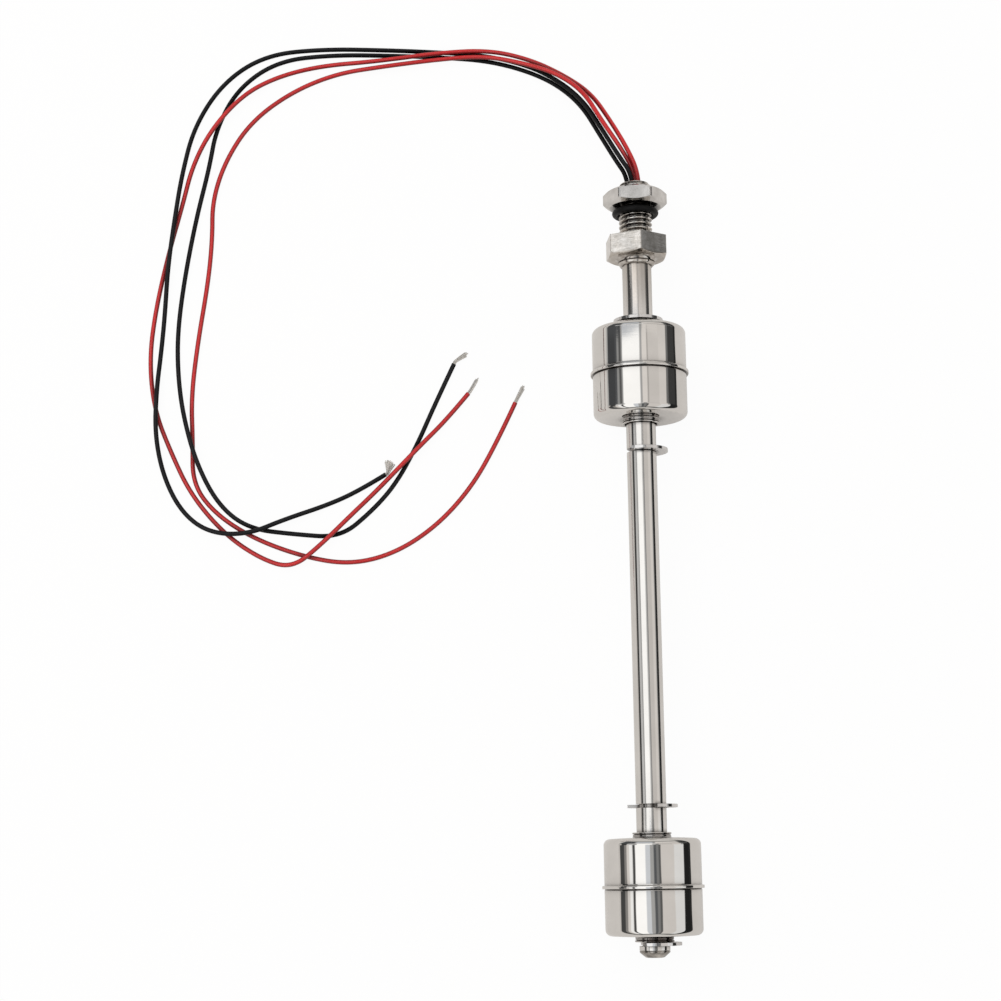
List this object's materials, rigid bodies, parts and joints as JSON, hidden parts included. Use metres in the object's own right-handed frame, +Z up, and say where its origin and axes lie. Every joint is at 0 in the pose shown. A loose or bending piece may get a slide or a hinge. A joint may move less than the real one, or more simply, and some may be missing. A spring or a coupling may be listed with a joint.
{
  "type": "float level switch",
  "caption": "Vertical magnetic float level switch: threaded steel stem with two sliding floats held by clips, lock nut, O-ring and free lead wires, lying on its floats.",
  "frame": {"origin": "half-way along the switch, straight under its axis, on the surface that the floats and wires lie on", "axes": "+Y along the stem towards its threaded end, +Z up, wires loop out towards -X"},
  "size_m": [0.1642, 0.2812, 0.0293],
  "materials": {
    "polished_steel": "polished",
    "turned_steel": "brushed",
    "spring_steel": "smooth",
    "black_rubber": "matt",
    "red_insulation": "satin",
    "black_insulation": "satin",
    "tinned_copper": "smooth",
    "epoxy": "satin",
    "ferrite": "matt",
    "reed_glass": "clear",
    "blade_alloy": "smooth",
    "sleeve": "satin"
  },
  "bodies": {
    "stem": {"stem_tube": "polished_steel", "end_plug": "polished_steel", "threaded_bushing": "turned_steel", "weld_bead": "polished_steel", "lock_nut": "turned_steel", "sealing_ring": "black_rubber", "potting": "epoxy", "upper_float_top_clip": "spring_steel", "upper_float_bottom_clip": "spring_steel", "upper_reed_glass": "reed_glass", "upper_reed_blades": "blade_alloy", "upper_reed_sleeve": "sleeve", "upper_reed_direct_lead": "sleeve", "upper_reed_return_lead": "sleeve", "lower_float_top_clip": "spring_steel", "lower_float_bottom_clip": "spring_steel", "lower_reed_glass": "reed_glass", "lower_reed_blades": "blade_alloy", "lower_reed_sleeve": "sleeve", "lower_reed_direct_lead": "sleeve", "lower_reed_return_lead": "sleeve", "black_wire_1": "black_insulation", "black_core_1": "tinned_copper", "black_wire_2": "black_insulation", "black_core_2": "tinned_copper", "red_wire_1": "red_insulation", "red_core_1": "tinned_copper", "red_wire_2": "red_insulation", "red_core_2": "tinned_copper"},
    "upper_magnet": {"upper_float_magnet": "ferrite"},
    "upper_float": {"upper_float_upper_shell": "polished_steel", "upper_float_lower_shell": "polished_steel", "upper_float_guide_tube": "polished_steel", "upper_float_magnet_retainers": "spring_steel"},
    "lower_magnet": {"lower_float_magnet": "ferrite"},
    "lower_float": {"lower_float_upper_shell": "polished_steel", "lower_float_lower_shell": "polished_steel", "lower_float_guide_tube": "polished_steel", "lower_float_magnet_retainers": "spring_steel"}
  },
  "joints": [
    {"name": "upper_float_slide", "type": "slide", "parent": "stem", "child": "upper_magnet", "axis": [0, 1, 0], "range_m": [-0.00745, 0]},
    {"name": "upper_float_turn", "type": "hinge", "parent": "upper_magnet", "child": "upper_float", "pos_m": [0, 0.05585, 0.01465], "axis": [0, 1, 0], "continuous": true},
    {"name": "lower_float_slide", "type": "slide", "parent": "stem", "child": "lower_magnet", "axis": [0, 1, 0], "range_m": [0, 0.007]},
    {"name": "lower_float_turn", "type": "hinge", "parent": "lower_magnet", "child": "lower_float", "pos_m": [0, -0.09515, 0.01465], "axis": [0, 1, 0], "continuous": true}
  ]
}
